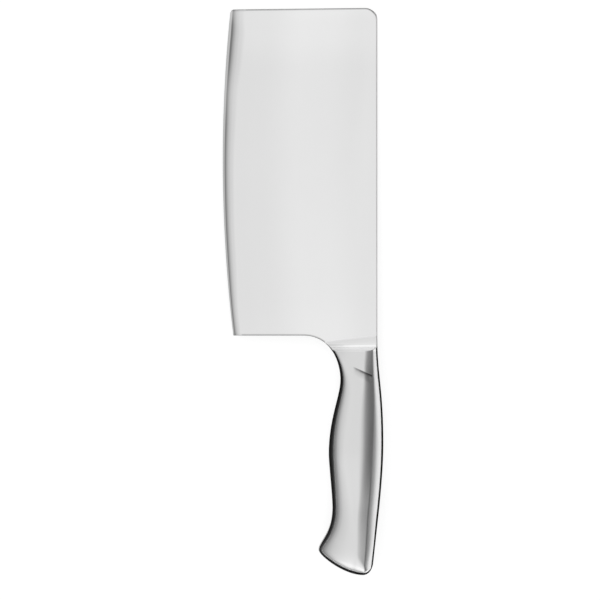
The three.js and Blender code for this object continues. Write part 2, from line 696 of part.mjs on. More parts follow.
const cleaver = new THREE.Group();
cleaver.name = "cleaver";
for (const [name, solid] of Object.entries(solids)) {
  const mesh = new THREE.Mesh(geometryOf(solid), new THREE.MeshStandardMaterial(finishes[name]));
  mesh.name = name;
  cleaver.add(mesh);
}
cleaver.position.set(
  (BLADE_HEIGHT - SPINE_CROWN_HEIGHT - WELD_CROWN) / 2,
  -(BLADE_LENGTH + buttY - WELD_CROWN) / 2,
  Math.max(SWELL_THICKNESS, BUTT_THICKNESS) / 2,
);

export default cleaver;
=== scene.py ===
# An all-steel kitchen cleaver, lying on its right side and seen square to the left side of its blade.
# Each piece is drawn in millimetres from the spine line (x = 0), the heel line (y = 0) and the middle plane
# of the blade (z = 0), and then moved into the frame.
import math
import bpy
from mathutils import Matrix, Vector


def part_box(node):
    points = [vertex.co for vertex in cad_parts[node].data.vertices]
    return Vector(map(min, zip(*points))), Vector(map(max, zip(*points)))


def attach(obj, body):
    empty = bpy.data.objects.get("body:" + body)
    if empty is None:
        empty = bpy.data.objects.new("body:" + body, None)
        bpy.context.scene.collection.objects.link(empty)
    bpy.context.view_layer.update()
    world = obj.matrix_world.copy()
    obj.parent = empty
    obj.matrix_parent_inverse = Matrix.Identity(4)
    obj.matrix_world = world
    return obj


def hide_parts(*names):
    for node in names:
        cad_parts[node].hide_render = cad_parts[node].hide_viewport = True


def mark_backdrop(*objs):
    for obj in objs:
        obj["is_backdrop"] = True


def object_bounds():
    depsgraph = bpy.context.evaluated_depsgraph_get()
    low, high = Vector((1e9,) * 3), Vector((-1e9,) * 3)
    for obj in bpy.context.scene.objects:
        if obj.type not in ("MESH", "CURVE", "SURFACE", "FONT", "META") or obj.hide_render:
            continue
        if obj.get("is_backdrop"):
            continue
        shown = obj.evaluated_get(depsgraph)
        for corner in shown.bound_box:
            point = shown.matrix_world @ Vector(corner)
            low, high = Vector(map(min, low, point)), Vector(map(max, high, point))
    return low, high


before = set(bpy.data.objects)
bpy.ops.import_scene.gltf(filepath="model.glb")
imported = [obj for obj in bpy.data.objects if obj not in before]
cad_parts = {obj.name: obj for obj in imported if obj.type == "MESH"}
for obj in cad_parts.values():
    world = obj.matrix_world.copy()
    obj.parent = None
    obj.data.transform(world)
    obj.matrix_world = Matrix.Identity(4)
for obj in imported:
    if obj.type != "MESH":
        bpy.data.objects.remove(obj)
cad_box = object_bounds()


# Blade: one plate of stainless steel with a satin finish, blanked to its outline. The curved cutting edge
# is ground on both sides to a rounded shoulder and then sharpened to a narrow bevel, all other edges are
# eased by hand, and a stub tang runs back into the bolster, where it is welded.
BLADE_LENGTH = 178
BLADE_HEIGHT = 84
BLADE_HALF = 1.1
TOE_CORNER_RADIUS = 6.7
TOE_DROP = 0.8
TOE_POINT_RADIUS = 2
EDGE_RADIUS = 795
EDGE_LOW_POINT = 95.4
EDGE_LAND = 0.05
BEVEL_WIDTH = 1.6
BEVEL_SHOULDER = 0.4
GRIND_WIDTH = 4.4
GRIND_AT_HEEL = 0.58
EASED_WIDTH = 1.1
EASED_DEPTH = 0.6
EASED_STEPS = 5
SPINE_RIM_SHARE = 0.6
NECK_LENGTH = 6.2
TANG_FROM_SPINE = 5.5
TANG_WIDTH = 11
TANG_LENGTH = 36
CHOIL = [(-40.3, 0), (-24.9, 0), (-20, -14.9), (-20, -23.9)]
EDGE_POINTS = 60
CORNER_POINTS = 12
CHOIL_POINTS = 24
GRIND_STEPS = 10
BEVEL_STEPS = 4
GRIND_SLACK = 0.4
FLAT_SLACK = 0.01
MERGE_DISTANCE = 0.001
CURVE_HALVINGS = 30
BLADE_SMOOTH_DEGREES = 18
BLADE_TONE = 0.905
BLADE_ROUGHNESS = 0.3
EDGE_SHADE_WIDTH = 12
SPINE_SHADE_WIDTH = 2

blade_low, blade_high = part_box("blade")
IN_FRAME = Vector((blade_high.x, blade_high.y - BLADE_LENGTH / 1000, (blade_low.z + blade_high.z) / 2))
toe_y = BLADE_LENGTH - TOE_DROP
grind_top = BEVEL_WIDTH + GRIND_WIDTH
grind_reach = grind_top + EASED_WIDTH


def lerp(start, end, share):
    return start + (end - start) * share


def bezier(points, share):
    """A point on the curve that these two, three or four control points give."""
    while len(points) > 1:
        points = [
            (lerp(a[0], b[0], share), lerp(a[1], b[1], share)) for a, b in zip(points, points[1:])
        ]
    return points[0]


def share_where(curve, reached):
    """Share of a curve from which reached(point) is true."""
    low, high = 0, 1
    for _ in range(CURVE_HALVINGS):
        middle = (low + high) / 2
        if reached(bezier(curve, middle)):
            high = middle
        else:
            low = middle
    return high


def edge_x(y):
    """Where the cutting edge lies at the height y."""
    return EDGE_RADIUS - BLADE_HEIGHT - math.sqrt(EDGE_RADIUS ** 2 - (y - EDGE_LOW_POINT) ** 2)


def select_only(piece):
    """Selects one piece, with no other, and makes it the active one."""
    bpy.ops.object.select_all(action="DESELECT")
    bpy.context.view_layer.objects.active = piece
    piece.select_set(True)


def in_edit_mode(piece):
    """Opens a piece for shaping with nothing on it selected."""
    select_only(piece)
    bpy.ops.object.mode_set(mode="EDIT")
    bpy.ops.mesh.select_all(action="DESELECT")


def pick(piece, mode, wanted):
    """Selects the faces or edges for which wanted(corner points) is true."""
    bpy.ops.mesh.select_mode(type=mode)
    bpy.ops.mesh.select_all(action="DESELECT")
    bpy.ops.object.mode_set(mode="OBJECT")
    corners = piece.data.vertices
    for part in piece.data.polygons if mode == "FACE" else piece.data.edges:
        part.select = wanted([corners[i].co for i in part.vertices])
    bpy.ops.object.mode_set(mode="EDIT")


def finish_modifier(piece, kind, **settings):
    """Adds one modifier to a piece and applies it."""
    bpy.ops.object.mode_set(mode="OBJECT")
    modifier = piece.modifiers.new(kind.title(), kind)
    for name, value in settings.items():
        setattr(modifier, name, value)
    select_only(piece)
    bpy.ops.object.modifier_apply(modifier=modifier.name)


def add_right_side(piece):
    """Adds the mirror image of a piece's left half and joins the two."""
    finish_modifier(
        piece, "MIRROR", use_axis=(False, False, True), use_clip=True, merge_threshold=MERGE_DISTANCE
    )


def settle(piece, smooth_degrees):
    """Turns the faces outwards, shades the piece and moves it from its drawing into the frame."""
    select_only(piece)
    bpy.ops.object.mode_set(mode="EDIT")
    bpy.ops.mesh.select_all(action="SELECT")
    bpy.ops.mesh.normals_make_consistent(inside=False)
    bpy.ops.object.mode_set(mode="OBJECT")
    bpy.ops.object.shade_smooth_by_angle(angle=math.radians(smooth_degrees))
    piece.scale = (0.001, 0.001, 0.001)
    piece.location = IN_FRAME
    bpy.ops.object.transform_apply(location=True, rotation=True, scale=True)


def blade_outline():
    """The flat of the blade, from the heel up along the top of the grind, over the toe, down the spine
    to the tang and back round the choil."""
    neck_share = share_where(CHOIL, lambda spot: spot[1] <= -NECK_LENGTH)
    tang_right = -TANG_FROM_SPINE
    tang_left = tang_right - TANG_WIDTH
    tang_end = -NECK_LENGTH - TANG_LENGTH
    outline = []
    for i in range(EDGE_POINTS + 1):
        y = toe_y * i / EDGE_POINTS
        outline.append((edge_x(y) + grind_top, y))
    for i in range(CORNER_POINTS + 1):
        turn = math.radians(90 - 90 * i / CORNER_POINTS)
        outline.append((
            TOE_CORNER_RADIUS * (math.cos(turn) - 1),
            BLADE_LENGTH + TOE_CORNER_RADIUS * (math.sin(turn) - 1),
        ))
    outline += [(0, -NECK_LENGTH), (tang_right, -NECK_LENGTH), (tang_right, tang_end)]
    outline += [(tang_left, tang_end), (tang_left, -NECK_LENGTH)]
    outline += [bezier(CHOIL, neck_share * (1 - i / CHOIL_POINTS)) for i in range(CHOIL_POINTS + 1)]
    return outline


outline = blade_outline()
bpy.ops.object.select_all(action="DESELECT")
bpy.ops.mesh.primitive_circle_add(vertices=len(outline), radius=BLADE_HEIGHT, fill_type="NGON")
blade = bpy.context.object
blade.name = "cleaver_blade"
for vertex, (x, y) in zip(blade.data.vertices, reversed(outline)):
    vertex.co = (x, y, 0)

# The left half of the plate is raised from the outline, and its rim is rounded over
in_edit_mode(blade)
bpy.ops.mesh.select_all(action="SELECT")
bpy.ops.mesh.normals_make_consistent(inside=False)
bpy.ops.mesh.extrude_region_move(TRANSFORM_OT_translate={"value": (0, 0, BLADE_HALF - EASED_DEPTH)})
turns = [math.pi / 2 * i / EASED_STEPS for i in range(EASED_STEPS + 1)]
for turn, next_turn in zip(turns, turns[1:]):
    bpy.ops.mesh.inset(
        thickness=EASED_WIDTH * (math.cos(turn) - math.cos(next_turn)),
        depth=EASED_DEPTH * (math.sin(next_turn) - math.sin(turn)),
    )
pick(blade, "FACE", lambda corners: all(abs(each.z) < FLAT_SLACK for each in corners))
bpy.ops.mesh.delete(type="FACE")


def on_grind_top(corner):
    """True for a point of the rim where the grind begins."""
    return corner.x - edge_x(corner.y) < grind_reach + GRIND_SLACK


# Along the cutting edge the four-sided faces of the rim go, and the plate is drawn out to the edge in
# thinning steps
pick(blade, "FACE", lambda corners: len(corners) == 4 and all(map(on_grind_top, corners)))
bpy.ops.mesh.delete(type="FACE")
pick(blade, "EDGE", lambda corners: all(map(on_grind_top, corners)))
thickness_steps = [(0, BLADE_HALF)]
for i in range(GRIND_STEPS):
    share = 1 - (i + 1) / GRIND_STEPS
    thickness_steps.append((
        (GRIND_WIDTH + EASED_WIDTH) * (1 - share),
        lerp(BEVEL_SHOULDER, BLADE_HALF, math.sin(share * math.pi / 2)),
    ))
for i in range(BEVEL_STEPS):
    share = (i + 1) / BEVEL_STEPS
    thickness_steps.append((
        GRIND_WIDTH + EASED_WIDTH + BEVEL_WIDTH * share,
        lerp(BEVEL_SHOULDER, EDGE_LAND, share),
    ))
for (x, half), (next_x, next_half) in zip(thickness_steps, thickness_steps[1:]):
    bpy.ops.mesh.extrude_region_move(TRANSFORM_OT_translate={"value": (x - next_x, 0, 0)})
    bpy.ops.transform.resize(value=(1, 1, next_half / half), center_override=(0, 0, 0))
bpy.ops.mesh.extrude_region_move(TRANSFORM_OT_translate={"value": (0, 0, 0)})
bpy.ops.transform.resize(value=(1, 1, 0), center_override=(0, 0, 0))
bpy.ops.mesh.select_all(action="SELECT")
bpy.ops.mesh.remove_doubles(threshold=MERGE_DISTANCE)
bpy.ops.object.mode_set(mode="OBJECT")

# The rim's corners at the heel and the toe began nearer to the edge and so have less far to go. The grind
# and the bevel get narrower towards the heel, the point of the toe is rounded, and the rim along the spine
# is narrower than elsewhere
for vertex in blade.data.vertices:
    x, y, z = vertex.co
    depth = x - edge_x(y)
    if depth < grind_reach + GRIND_SLACK:
        from_end = min(y, toe_y - y)
        start = grind_reach - max(EASED_WIDTH - from_end, 0)
        depth = start * (1 - (start - depth) / grind_reach)
        depth *= lerp(GRIND_AT_HEEL, 1, y / BLADE_LENGTH)
        on_point = min(max(TOE_POINT_RADIUS - depth, 0), TOE_POINT_RADIUS)
        point_drop = TOE_POINT_RADIUS - math.sqrt(TOE_POINT_RADIUS ** 2 - on_point ** 2)
        y = min(y, toe_y - point_drop)
        vertex.co = (edge_x(y) + depth, y, z)
    elif x > -2 * EASED_WIDTH:
        vertex.co.x *= lerp(1, SPINE_RIM_SHARE, 1 + x / (2 * EASED_WIDTH))
add_right_side(blade)
settle(blade, BLADE_SMOOTH_DEGREES)


def new_group(name, inputs, outputs):
    """An empty shader node group with these float inputs and these (name, socket type) outputs."""
    group = bpy.data.node_groups.new(name, "ShaderNodeTree")
    for label, value in inputs:
        socket = group.interface.new_socket(label, in_out="INPUT", socket_type="NodeSocketFloat")
        socket.default_value = value
    for label, kind in outputs:
        group.interface.new_socket(label, in_out="OUTPUT", socket_type=kind)
    return group, group.nodes.new("NodeGroupInput"), group.nodes.new("NodeGroupOutput")


def add_node(tree, kind, links=(), **settings):
    """Adds a node, sets its properties and default inputs, and links (socket, source) pairs to it."""
    node = tree.nodes.new(kind)
    for name, value in settings.items():
        if hasattr(node, name):
            setattr(node, name, value)
        else:
            node.inputs[name.replace("_", " ").title()].default_value = value
    for socket, source in links:
        tree.links.new(source, node.inputs[socket])
    return node


def math_node(tree, operation, first, second):
    """A math node on two values, each a number or a socket."""
    node = tree.nodes.new("ShaderNodeMath")
    node.operation = operation
    for socket, value in zip(node.inputs, (first, second)):
        if isinstance(value, (int, float)):
            socket.default_value = value
        else:
            tree.links.new(value, socket)
    return node.outputs[0]


def ramp_node(tree, source, stops):
    """A grey ramp through (position, value) stops."""
    node = tree.nodes.new("ShaderNodeValToRGB")
    node.color_ramp.interpolation = "EASE"
    while len(node.color_ramp.elements) < len(stops):
        node.color_ramp.elements.new(0.5)
    for element, (position, value) in zip(node.color_ramp.elements, stops):
        element.position = position
        element.color = (value, value, value, 1)
    tree.links.new(source, node.inputs["Fac"])
    return node.outputs["Color"]


def share_of(tree, distance, reach):
    """A distance in metres as a share of a reach in millimetres."""
    return math_node(tree, "MULTIPLY", distance, 1000 / reach)


def faded(tree, shade, strength):
    """A shade at full strength where strength is 1, and none where it is 0."""
    mix = add_node(tree, "ShaderNodeMix", [("Factor", strength), ("B", shade)], a=1)
    return mix.outputs[0]


def darken(tree, shader, colour, shades):
    """Gives a shader this colour, multiplied by each of the shades."""
    for shade in shades:
        colour = add_node(tree, "ShaderNodeVectorMath", [
            (0, colour),
            (1, shade),
        ], operation="MULTIPLY").outputs[0]
    tree.links.new(colour, shader.inputs["Base Color"])


# Satin grain: fine belt-ground lines along the piece, laid over broad faint clouds of duller steel
satin, satin_in, satin_out = new_group(
    "satin_grain",
    [("Lines across", 9000), ("Lines along", 260), ("Depth", 1)],
    [("Tone", "NodeSocketFloat"), ("Roughness", "NodeSocketFloat"), ("Height", "NodeSocketFloat")],
)
satin_place = add_node(satin, "ShaderNodeTexCoord")
satin_scale = add_node(satin, "ShaderNodeCombineXYZ", [
    ("X", satin_in.outputs["Lines across"]),
    ("Y", satin_in.outputs["Lines along"]),
    ("Z", satin_in.outputs["Lines across"]),
])
satin_stretch = add_node(satin, "ShaderNodeVectorMath", [
    (0, satin_place.outputs["Object"]),
    (1, satin_scale.outputs[0]),
], operation="MULTIPLY")
satin_lines = add_node(satin, "ShaderNodeTexNoise", [
    ("Vector", satin_stretch.outputs[0]),
], scale=1, detail=3)
satin_clouds = add_node(satin, "ShaderNodeTexNoise", [
    ("Vector", satin_place.outputs["Object"]),
], scale=38, detail=4)
line_noise = math_node(satin, "SUBTRACT", satin_lines.outputs["Fac"], 0.5)
line_swing = math_node(satin, "MULTIPLY", line_noise, satin_in.outputs["Depth"])
cloud_swing = math_node(satin, "SUBTRACT", satin_clouds.outputs["Fac"], 0.5)
for output, line_share, cloud_share in (("Tone", 0.05, 0.04), ("Roughness", 0.12, 0.08)):
    line_part = math_node(satin, "MULTIPLY", line_swing, line_share)
    cloud_part = math_node(satin, "MULTIPLY", cloud_swing, cloud_share)
    satin.links.new(math_node(satin, "ADD", line_part, cloud_part), satin_out.inputs[output])
satin.links.new(line_swing, satin_out.inputs["Height"])


def steel_material(name, tone, roughness, grain, tint=(1, 1, 1)):
    """Satin stainless steel. grain holds the values of the satin_grain group."""
    material = bpy.data.materials.new(name)
    material.use_nodes = True
    tree = material.node_tree
    shader = tree.nodes["Principled BSDF"]
    shader.inputs["Metallic"].default_value = 1
    finish = tree.nodes.new("ShaderNodeGroup")
    finish.node_tree = satin
    for label, value in grain.items():
        finish.inputs[label].default_value = value
    brightness = math_node(tree, "ADD", finish.outputs["Tone"], tone)
    colour = add_node(tree, "ShaderNodeVectorMath", [(0, brightness)], operation="MULTIPLY")
    colour.inputs[1].default_value = tint
    tree.links.new(colour.outputs[0], shader.inputs["Base Color"])
    gloss = math_node(tree, "ADD", finish.outputs["Roughness"], roughness)
    tree.links.new(gloss, shader.inputs["Roughness"])
    bump = add_node(tree, "ShaderNodeBump", [
        ("Height", finish.outputs["Height"]),
    ], strength=0.12, distance=0.00002)
    tree.links.new(bump.outputs["Normal"], shader.inputs["Normal"])
    return material, tree, shader, colour


# The blade is ground along its length. Light is painted into its colour: it is brightest along the middle
# of the blade and towards its ends, painted shade dulls the rounded rim and the ends of the grind, and a
# painted dark reflection runs along the cutting edge, strongest near the toe
blade_steel, blade_tree, blade_shader, blade_colour = steel_material(
    "blade_steel", BLADE_TONE, BLADE_ROUGHNESS, {"Lines across": 7000, "Lines along": 180, "Depth": 0.4}
)
edge_centre = IN_FRAME + Vector((EDGE_RADIUS - BLADE_HEIGHT, EDGE_LOW_POINT, 0)) / 1000
blade_place = add_node(blade_tree, "ShaderNodeTexCoord")
blade_parts = add_node(blade_tree, "ShaderNodeSeparateXYZ", [("Vector", blade_place.outputs["Object"])])
flat_place = add_node(blade_tree, "ShaderNodeCombineXYZ", [
    ("X", blade_parts.outputs["X"]),
    ("Y", blade_parts.outputs["Y"]),
])
edge_reach = add_node(blade_tree, "ShaderNodeVectorMath", [
    (0, flat_place.outputs[0]),
], operation="DISTANCE")
edge_reach.inputs[1].default_value = (edge_centre.x, edge_centre.y, 0)
edge_depth = math_node(blade_tree, "SUBTRACT", EDGE_RADIUS / 1000, edge_reach.outputs["Value"])
from_heel = math_node(blade_tree, "SUBTRACT", blade_parts.outputs["Y"], IN_FRAME.y)
length_share = share_of(blade_tree, from_heel, BLADE_LENGTH)
# How wide the painted shade along the cutting edge is, along the length of the blade
width_share = ramp_node(blade_tree, length_share, [
    (0.04, 0.41),
    (0.27, 0.56),
    (0.5, 0.61),
    (0.72, 0.72),
    (0.87, 0.88),
    (0.92, 0.9),
    (0.965, 0.8),
    (1, 0.74),
])
shade_width = math_node(blade_tree, "MULTIPLY", width_share, EDGE_SHADE_WIDTH / 1000)
edge_share = math_node(blade_tree, "DIVIDE", edge_depth, shade_width)
# Painted shade: a dark band along the grind of the cutting edge, in place of its reflection of darker
# surroundings
painted_edge_shade = ramp_node(blade_tree, edge_share, [
    (0, 0.667),
    (0.115, 0.711),
    (0.155, 0.256),
    (0.2, 0.278),
    (0.3, 0.533),
    (0.38, 0.689),
    (0.46, 0.778),
    (0.62, 0.878),
    (0.92, 1),
])
edge_strength = ramp_node(blade_tree, length_share, [
    (0.62, 0.92),
    (0.745, 0.78),
    (0.87, 1),
    (0.94, 1),
    (0.99, 0.7),
])
# Painted light: brightest along the middle of the blade, darker towards the cutting edge
painted_light_across = ramp_node(blade_tree, share_of(blade_tree, edge_depth, BLADE_HEIGHT), [
    (0.1, 0.92),
    (0.22, 0.93),
    (0.5, 1),
    (0.65, 1),
    (0.84, 0.975),
    (1, 1),
])
# Painted light: brighter towards the toe and the heel
painted_light_along = ramp_node(blade_tree, length_share, [
    (0, 0.968),
    (0.12, 0.955),
    (0.8, 0.955),
    (0.93, 1),
])
above_middle = math_node(blade_tree, "SUBTRACT", blade_parts.outputs["Z"], IN_FRAME.z)
off_middle = math_node(blade_tree, "ABSOLUTE", above_middle, 0)
below_flat = math_node(blade_tree, "SUBTRACT", BLADE_HALF / 1000, off_middle)
# Painted shade on the rounded rim, in place of its dark reflection; it is left off over the grind and near
# the spine
painted_rim_shade = ramp_node(blade_tree, share_of(blade_tree, below_flat, 1), [
    (0.003, 1),
    (0.03, 0.73),
    (0.1, 0.56),
    (0.25, 0.44),
])
past_grind = ramp_node(blade_tree, edge_share, [(0.85, 0), (1, 1)])
spine_gap = math_node(blade_tree, "SUBTRACT", IN_FRAME.x, blade_parts.outputs["X"])
before_spine = ramp_node(blade_tree, share_of(blade_tree, spine_gap, SPINE_SHADE_WIDTH), [
    (0.4, 0),
    (0.9, 1),
])
rim_strength = math_node(blade_tree, "MULTIPLY", past_grind, before_spine)
# Painted shade along the heel and the toe lines, within the grind
painted_end_shade = ramp_node(blade_tree, length_share, [
    (0, 0.6),
    (0.006, 1),
    (0.988, 1),
    (0.9955, 0.55),
])
end_strength = math_node(blade_tree, "SUBTRACT", 1, past_grind)
darken(blade_tree, blade_shader, blade_colour.outputs[0], (
    faded(blade_tree, painted_edge_shade, edge_strength),
    painted_light_across,
    painted_light_along,
    faded(blade_tree, painted_rim_shade, rim_strength),
    faded(blade_tree, painted_end_shade, end_strength),
))
blade.data.materials.append(blade_steel)
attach(blade, "root")
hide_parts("blade")


# Bolster: a solid steel collar that clasps the neck of the blade and is welded to it. It rises from the
# flat of the blade in a short ramp, and behind the ramp it already has the rounded section of the handle.
BELLY = [
    CHOIL,
    [(-20, -23.9), (-20, -32.9), (-26.35, -45.1), (-26.35, -64.3)],
    [(-26.35, -64.3), (-26.35, -69.3), (-24.35, -87), (-24.35, -93.5)],
    [(-24.35, -93.5), (-24.35, -107.8), (-31.9, -111.9), (-31.9, -116.5)],
]
SPINE = [
    [(0, 0), (0, -21.6), (3.3, -28.4), (3.3, -58.7)],
    [(3.3, -58.7), (3.3, -78.1), (0, -102.7), (-2.3, -123.6)],
]
RAMP_TOP = -8.3
RAMP_FOOT_SPINE = -0.1
RAMP_FOOT_BELLY = -3.4
RAMP_FOOT_STEP = 0.01
RAMP_POWER = 3.6
RAMP_ROWS = 60
COLLAR_ROWS = 24
JOINT_BELLY = -13.5
JOINT_SPINE = -24.1
SECTION_HEIGHTS = (RAMP_TOP, -64.3, -93.5, -116.5)
SECTION_FORMS = {
    "half": (5.7, 9.5, 8.6, 9.3),
    "roll": (4.2, 9.5, 11.8, 16),
    "fullness": (0.75, 0.55, 0.55, 0.66),
    "shoulder": (7.2, 14, 12.1, 10.4),
    "bend": (0.25, 0.38, 0.2, 0.22),
    "slope": (19, 22.5, 15.6, 14),
    "ridge": (2.95, 6.4, 6.1, 5.6),
    "corner": (2.3, 2.7, 2.6, 2.4),
}
CHAMFER_FALL = math.tan(math.radians(24.5))
CORNER_FALL = math.tan(math.radians(33))
CORNER_REACH = 0.65
SIDE_START = 1.35
SIDE_EASE = 3.8
BACK_EASE = 1.3
SECTION_COLUMNS = (18, 6, 14, 8, 20)
HANDLE_SMOOTH_DEGREES = 40
HANDLE_TONE = 0.94
HANDLE_ROUGHNESS = 0.18
FOOT_SHADE_WIDTH = 5
COLLAR_SHADE_WIDTH = 10
BELLY_SHADE_WIDTH = 30
BELLY_SHADE_LENGTH = 20
CREASE_SHADE_WIDTH = 5
CREASE_SHADE_AHEAD = 1.3
CREASE_SHADE_LENGTH = 16


def smooth(value, low, high):
    """0 below low, 1 above high and an eased rise between them."""
    share = min(max((value - low) / (high - low), 0), 1)
    return share * share * (3 - 2 * share)


def outline_x(curves, y):
    """Where a chain of falling curves lies at the height y."""
    curve = next((each for each in curves if each[-1][1] <= y), curves[-1])
    return bezier(curve, share_where(curve, lambda spot: spot[1] <= y))[0]


def form_at(y):
    """Sizes and slope of the handle's section at the height y, eased from one station to the next. Behind
    the bolster the rolled belly and the shoulder reach their full sizes first."""
    ramp_top, swell, waist, hook = SECTION_HEIGHTS
    reached = min(max((ramp_top - y) / (ramp_top - swell), 0), 1)
    side_to_swell = 1 - (1 - reached ** SIDE_START) ** SIDE_EASE
    back_to_swell = 1 - (1 - reached) ** BACK_EASE
    to_waist = smooth(-y, -swell, -waist)
    to_hook = smooth(-y, -waist, -hook)
    form = {}
    for name, sizes in SECTION_FORMS.items():
        to_swell = side_to_swell if name in ("roll", "shoulder") else back_to_swell
        form[name] = lerp(lerp(lerp(sizes[0], sizes[1], to_swell), sizes[2], to_waist), sizes[3], to_hook)
    return form


def section_spot(width, form, column):
    """A point on the left half of a section, as its distance from the belly and its height. The section
    has a rounded belly, a flat side, a slope down to the ridge, a chamfer and a rounded corner."""
    half = form["half"]
    roll = form["roll"]
    shoulder = width - form["shoulder"]
    ridge_x = width - form["ridge"]
    bend = lerp(shoulder, ridge_x, form["bend"])
    ridge = (ridge_x, half - (ridge_x - bend) * math.tan(math.radians(form["slope"])))
    chamfer = (form["ridge"] - form["corner"]) / 2
    chamfer_middle = (ridge[0] + chamfer, ridge[1] - chamfer * CHAMFER_FALL)
    corner = (chamfer_middle[0] + chamfer, chamfer_middle[1] - chamfer * CORNER_FALL)
    reach = form["corner"] * CORNER_REACH
    curves = (
        [(0, 0), (0, half * form["fullness"]), (roll * (1 - form["fullness"]), half), (roll, half)],
        [(roll, half), (shoulder, half)],
        [(shoulder, half), (bend, half), ridge],
        [ridge, chamfer_middle, corner],
        [
            corner,
            (corner[0] + reach, corner[1] - reach * CORNER_FALL),
            (width, corner[1] - form["corner"] * CORNER_FALL),
            (width, 0),
        ],
    )
    for curve, columns in zip(curves, SECTION_COLUMNS):
        if column <= columns:
            return bezier(curve, column / columns)
        column -= columns


def pressed_sheet(name, rows):
    """A flat grid, pressed so that its rows of points lie on these rows, the first at the rear."""
    columns = len(rows[0])
    bpy.ops.object.select_all(action="DESELECT")
    bpy.ops.mesh.primitive_grid_add(x_subdivisions=columns - 1, y_subdivisions=len(rows) - 1)
    sheet = bpy.context.object
    sheet.name = name
    for index, vertex in enumerate(sheet.data.vertices):
        row, column = divmod(index, columns)
        vertex.co = rows[row][column]
    return sheet


def row_spots(belly_y, spine_y):
    """The points of a row over the left side of the handle between two heights: for each its place in
    plan, its distances from the belly and the spine, its height and the section's form. A slanting row
    crosses several forms, and a first guess at a point says which one it has."""
    belly = Vector((outline_x(BELLY, belly_y), belly_y))
    spine = Vector((outline_x(SPINE, spine_y), spine_y))
    width = (spine - belly).length
    middle_form = form_at((belly_y + spine_y) / 2)
    for column in range(sum(SECTION_COLUMNS) + 1):
        guess = section_spot(width, middle_form, column)[0] / width
        form = form_at(lerp(belly_y, spine_y, guess))
        from_belly, height = section_spot(width, form, column)
        yield belly.lerp(spine, from_belly / width), from_belly, width - from_belly, height, form


def straight_row(belly_y, spine_y, rise=1):
    """A row of the bolster, cut off at the height of the ramp, which has risen by this share from the flat
    of the blade. Its ends are rounded over like the rims of the blade."""
    row = []
    for plan, from_belly, from_spine, height, form in row_spots(belly_y, spine_y):
        on_rim = max(1 - from_belly / EASED_WIDTH, 1 - from_spine / (EASED_WIDTH * SPINE_RIM_SHARE), 0)
        rim_share = 1 - (1 - math.sqrt(1 - on_rim ** 2)) * EASED_DEPTH / BLADE_HALF
        ramp_height = lerp(BLADE_HALF + RAMP_FOOT_STEP, form["half"], rise)
        row.append((plan.x, plan.y, min(height, ramp_height * rim_share)))
    return row


bolster_rows = []
for i in range(RAMP_ROWS):
    share = i / RAMP_ROWS
    belly_y = lerp(RAMP_FOOT_BELLY, RAMP_TOP, share)
    spine_y = lerp(RAMP_FOOT_SPINE, RAMP_TOP, share)
    bolster_rows.append(straight_row(belly_y, spine_y, share ** RAMP_POWER))
for i in range(COLLAR_ROWS + 1):
    share = i / COLLAR_ROWS
    belly_y = lerp(RAMP_TOP, JOINT_BELLY, share)
    spine_y = lerp(RAMP_TOP, JOINT_SPINE, share)
    bolster_rows.append(straight_row(belly_y, spine_y))
bolster = pressed_sheet("handle_bolster", bolster_rows[::-1])
add_right_side(bolster)
in_edit_mode(bolster)
bpy.ops.mesh.select_mode(type="EDGE")
bpy.ops.mesh.select_non_manifold()
bpy.ops.mesh.fill_holes(sides=0)
bpy.ops.object.mode_set(mode="OBJECT")
settle(bolster, HANDLE_SMOOTH_DEGREES)
handle_steel, handle_tree, handle_shader, handle_colour = steel_material(
    "handle_steel", HANDLE_TONE, HANDLE_ROUGHNESS, {"Lines across": 8000, "Lines along": 240, "Depth": 0.8}
)
handle_place = add_node(handle_tree, "ShaderNodeTexCoord")


def behind_line(belly, spine):
    """How far in millimetres a point of the handle lies behind a line from the belly to the spine."""
    across = Vector((belly[1] - spine[1], spine[0] - belly[0], 0)).normalized()
    ahead = add_node(handle_tree, "ShaderNodeVectorMath", [
        (0, handle_place.outputs["Object"]),
    ], operation="DOT_PRODUCT")
    ahead.inputs[1].default_value = across * -1000
    start = IN_FRAME.dot(across) * 1000 + Vector((*belly, 0)).dot(across)
    return math_node(handle_tree, "ADD", ahead.outputs["Value"], start)


# Light and shade are painted into the colour: painted shade over the foot of the ramp, behind the top of
# the ramp and towards the belly of the bolster, and a dark line of painted shade along the crease at the
# joint, which starts on the side and ends at the ridge
# Painted shade over the foot of the ramp
foot_offset = behind_line((outline_x(BELLY, RAMP_FOOT_BELLY), RAMP_FOOT_BELLY), (0, RAMP_FOOT_SPINE))
painted_foot_shade = ramp_node(handle_tree, math_node(handle_tree, "DIVIDE", foot_offset, FOOT_SHADE_WIDTH), [
    (0, 0.96),
    (0.15, 0.89),
    (0.3, 0.905),
    (0.4, 0.917),
])
handle_parts = add_node(handle_tree, "ShaderNodeSeparateXYZ", [("Vector", handle_place.outputs["Object"])])
behind_heel = math_node(handle_tree, "SUBTRACT", IN_FRAME.y, handle_parts.outputs["Y"])
# Painted light and shade: lighter near the top of the ramp, darker before it and behind it
painted_collar_light = ramp_node(handle_tree, share_of(handle_tree, behind_heel, COLLAR_SHADE_WIDTH), [
    (0.5, 0.893),
    (0.58, 1),
    (0.78, 1),
    (0.9, 0.836),
])
